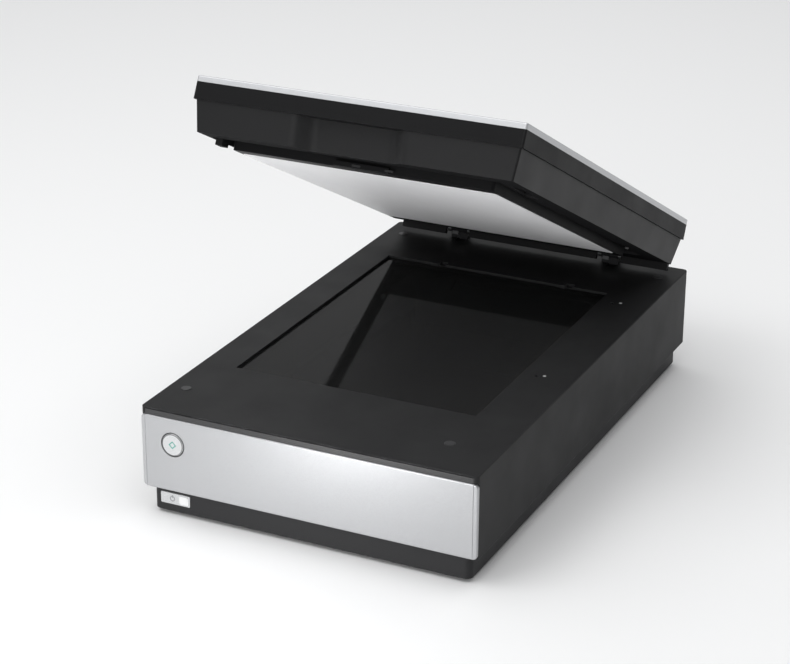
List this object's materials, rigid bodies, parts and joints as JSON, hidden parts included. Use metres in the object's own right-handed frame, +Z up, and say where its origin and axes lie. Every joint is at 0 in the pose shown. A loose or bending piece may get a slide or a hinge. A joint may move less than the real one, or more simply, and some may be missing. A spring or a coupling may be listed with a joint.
{
  "type": "flatbed scanner",
  "caption": "Flatbed scanner with a hinged lid, half open, that holds a sliding film lamp and a removable white mat; the scan carriage runs on a rod under the glass.",
  "frame": {"origin": "on the table, under the middle of the whole object with its lid part open", "axes": "+X to the right, +Y from the front panel to the back, +Z up"},
  "size_m": [0.308, 0.5144, 0.3594],
  "materials": {
    "black_plastic": "fine satin grain",
    "silver_plastic": "silver paint on plastic, satin",
    "grey_plastic": "dark grey plastic, satin",
    "pale_plastic": "pale plastic, smooth",
    "light_grey_plastic": "light grey plastic, satin",
    "white_plastic": "white, matt",
    "rubber_black": "matt rubber",
    "clear_glass": "clear, polished",
    "smoke_window": "milky acrylic diffuser",
    "board_green": "printed circuit board",
    "steel": "bright steel",
    "ground_steel": "ground and polished",
    "bronze": "sintered bronze",
    "acetal": "white acetal",
    "belt_rubber": "toothed belt",
    "mirror": "first surface mirror",
    "lamp_glass": "thin lamp tube, phosphor coated",
    "lens_black": "black anodised",
    "alloy": "plain aluminium"
  },
  "bodies": {
    "base": {"lower_tray": "black_plastic", "rubber_feet": "rubber_black", "upper_case": "black_plastic", "front_panel": "silver_plastic", "front_trim": "grey_plastic", "platen_glass": "clear_glass", "glass_tape": "black_plastic", "calibration_strip": "white_plastic", "deck_caps": "grey_plastic", "case_screws": "steel", "control_board": "board_green", "power_switch": "board_green", "main_board": "board_green", "usb_socket": "steel", "bus_socket": "steel", "lid_cable_socket": "black_plastic", "power_inlet": "black_plastic", "guide_rod": "ground_steel", "rod_clamps": "black_plastic", "support_rail": "steel", "motor_bracket": "steel", "drive_motor": "steel", "idler_bracket": "steel", "timing_belt": "belt_rubber", "tension_spring": "ground_steel", "start_spring": "ground_steel", "power_spring": "ground_steel"},
    "start_button": {"start_button": "pale_plastic"},
    "power_button": {"power_button": "silver_plastic"},
    "transport_lock": {"transport_lock": "grey_plastic"},
    "scan_carriage": {"carriage_housing": "black_plastic", "carriage_bushes": "bronze", "carriage_glide": "acetal", "belt_clip": "grey_plastic", "exposure_lamps": "lamp_glass", "lamp_reflectors": "alloy", "fold_mirrors": "mirror", "lens_block": "lens_black", "sensor_board": "board_green"},
    "pinion": {"pinion_shaft": "ground_steel"},
    "drive_gear": {"drive_gear": "acetal"},
    "idler_pulley": {"idler_pulley": "acetal"},
    "hinge_posts": {"hinge_posts": "black_plastic", "hinge_pins": "ground_steel"},
    "lid": {"hinge_brackets": "steel", "lid_cover": "silver_plastic", "lid_rim": "grey_plastic", "lid_case": "grey_plastic", "lamp_window": "smoke_window", "lid_screws": "steel", "lid_guide_rod": "ground_steel", "lid_motor": "steel", "lid_belt": "belt_rubber"},
    "mat": {"mat_frame": "black_plastic", "mat_sheet": "white_plastic"},
    "lid_lock": {"lid_lock": "black_plastic"},
    "lamp_carriage": {"lamp_carriage": "black_plastic", "film_lamp": "lamp_glass"},
    "lid_drive_pulley": {"lid_drive_pulley": "acetal"},
    "lid_idler_pulley": {"lid_idler_pulley": "acetal"}
  },
  "joints": [
    {"name": "start_press", "type": "slide", "parent": "base", "child": "start_button", "axis": [0, 1, 0], "range_m": [0, 0.0015], "stiffness_N_per_m": 900, "springref_m": -0.0015, "deforming": ["start_spring"]},
    {"name": "power_press", "type": "slide", "parent": "base", "child": "power_button", "axis": [0, 1, 0], "range_m": [0, 0.0015], "stiffness_N_per_m": 900, "springref_m": -0.0015, "deforming": ["power_spring"]},
    {"name": "transport_lock_slide", "type": "slide", "parent": "base", "child": "transport_lock", "axis": [1, 0, 0], "range_m": [0, 0.01]},
    {"name": "carriage_travel", "type": "slide", "parent": "base", "child": "scan_carriage", "axis": [0, -1, 0], "range_m": [0, 0.318]},
    {"name": "drive_gear_turn", "type": "hinge", "parent": "base", "child": "drive_gear", "pos_m": [-0.105, -0.1947, 0.04], "axis": [0, 0, 1], "continuous": true},
    {"name": "pinion_turn", "type": "hinge", "parent": "base", "child": "pinion", "pos_m": [-0.075, -0.1947, 0.034], "axis": [0, 0, 1], "continuous": true},
    {"name": "idler_turn", "type": "hinge", "parent": "base", "child": "idler_pulley", "pos_m": [-0.105, 0.1953, 0.0415], "axis": [0, 0, 1], "continuous": true},
    {"name": "hinge_lift", "type": "slide", "parent": "base", "child": "hinge_posts", "axis": [0, 0, 1], "range_m": [0, 0.022]},
    {"name": "lid_hinge", "type": "hinge", "parent": "hinge_posts", "child": "lid", "pos_m": [0, 0.2335, 0.108], "axis": [-1, 0, 0], "range_deg": [-27.33, 50]},
    {"name": "mat_slide", "type": "slide", "parent": "lid", "child": "mat", "axis": [0, -0.8884, 0.4591], "range_m": [0, 0.012]},
    {"name": "lid_lock_slide", "type": "slide", "parent": "lid", "child": "lid_lock", "axis": [0, -0.8884, 0.4591], "range_m": [0, 0.028]},
    {"name": "lamp_travel", "type": "slide", "parent": "lid", "child": "lamp_carriage", "axis": [0, -0.8884, 0.4591], "range_m": [0, 0.302]},
    {"name": "lid_drive_turn", "type": "hinge", "parent": "lid", "child": "lid_drive_pulley", "pos_m": [-0.1195, -0.12401, 0.32754], "axis": [0, 0.4591, 0.8884], "continuous": true},
    {"name": "lid_idler_turn", "type": "hinge", "parent": "lid", "child": "lid_idler_pulley", "pos_m": [-0.1195, 0.2269, 0.14619], "axis": [0, 0.4591, 0.8884], "continuous": true}
  ],
  "couplings": [
    {"joint": "drive_gear_turn", "follows": "carriage_travel", "rad_per_m": 157.08},
    {"joint": "pinion_turn", "follows": "carriage_travel", "rad_per_m": -628.32},
    {"joint": "idler_turn", "follows": "carriage_travel", "rad_per_m": 157.08},
    {"joint": "lid_drive_turn", "follows": "lamp_travel", "rad_per_m": -157.08},
    {"joint": "lid_idler_turn", "follows": "lamp_travel", "rad_per_m": -157.08}
  ]
}
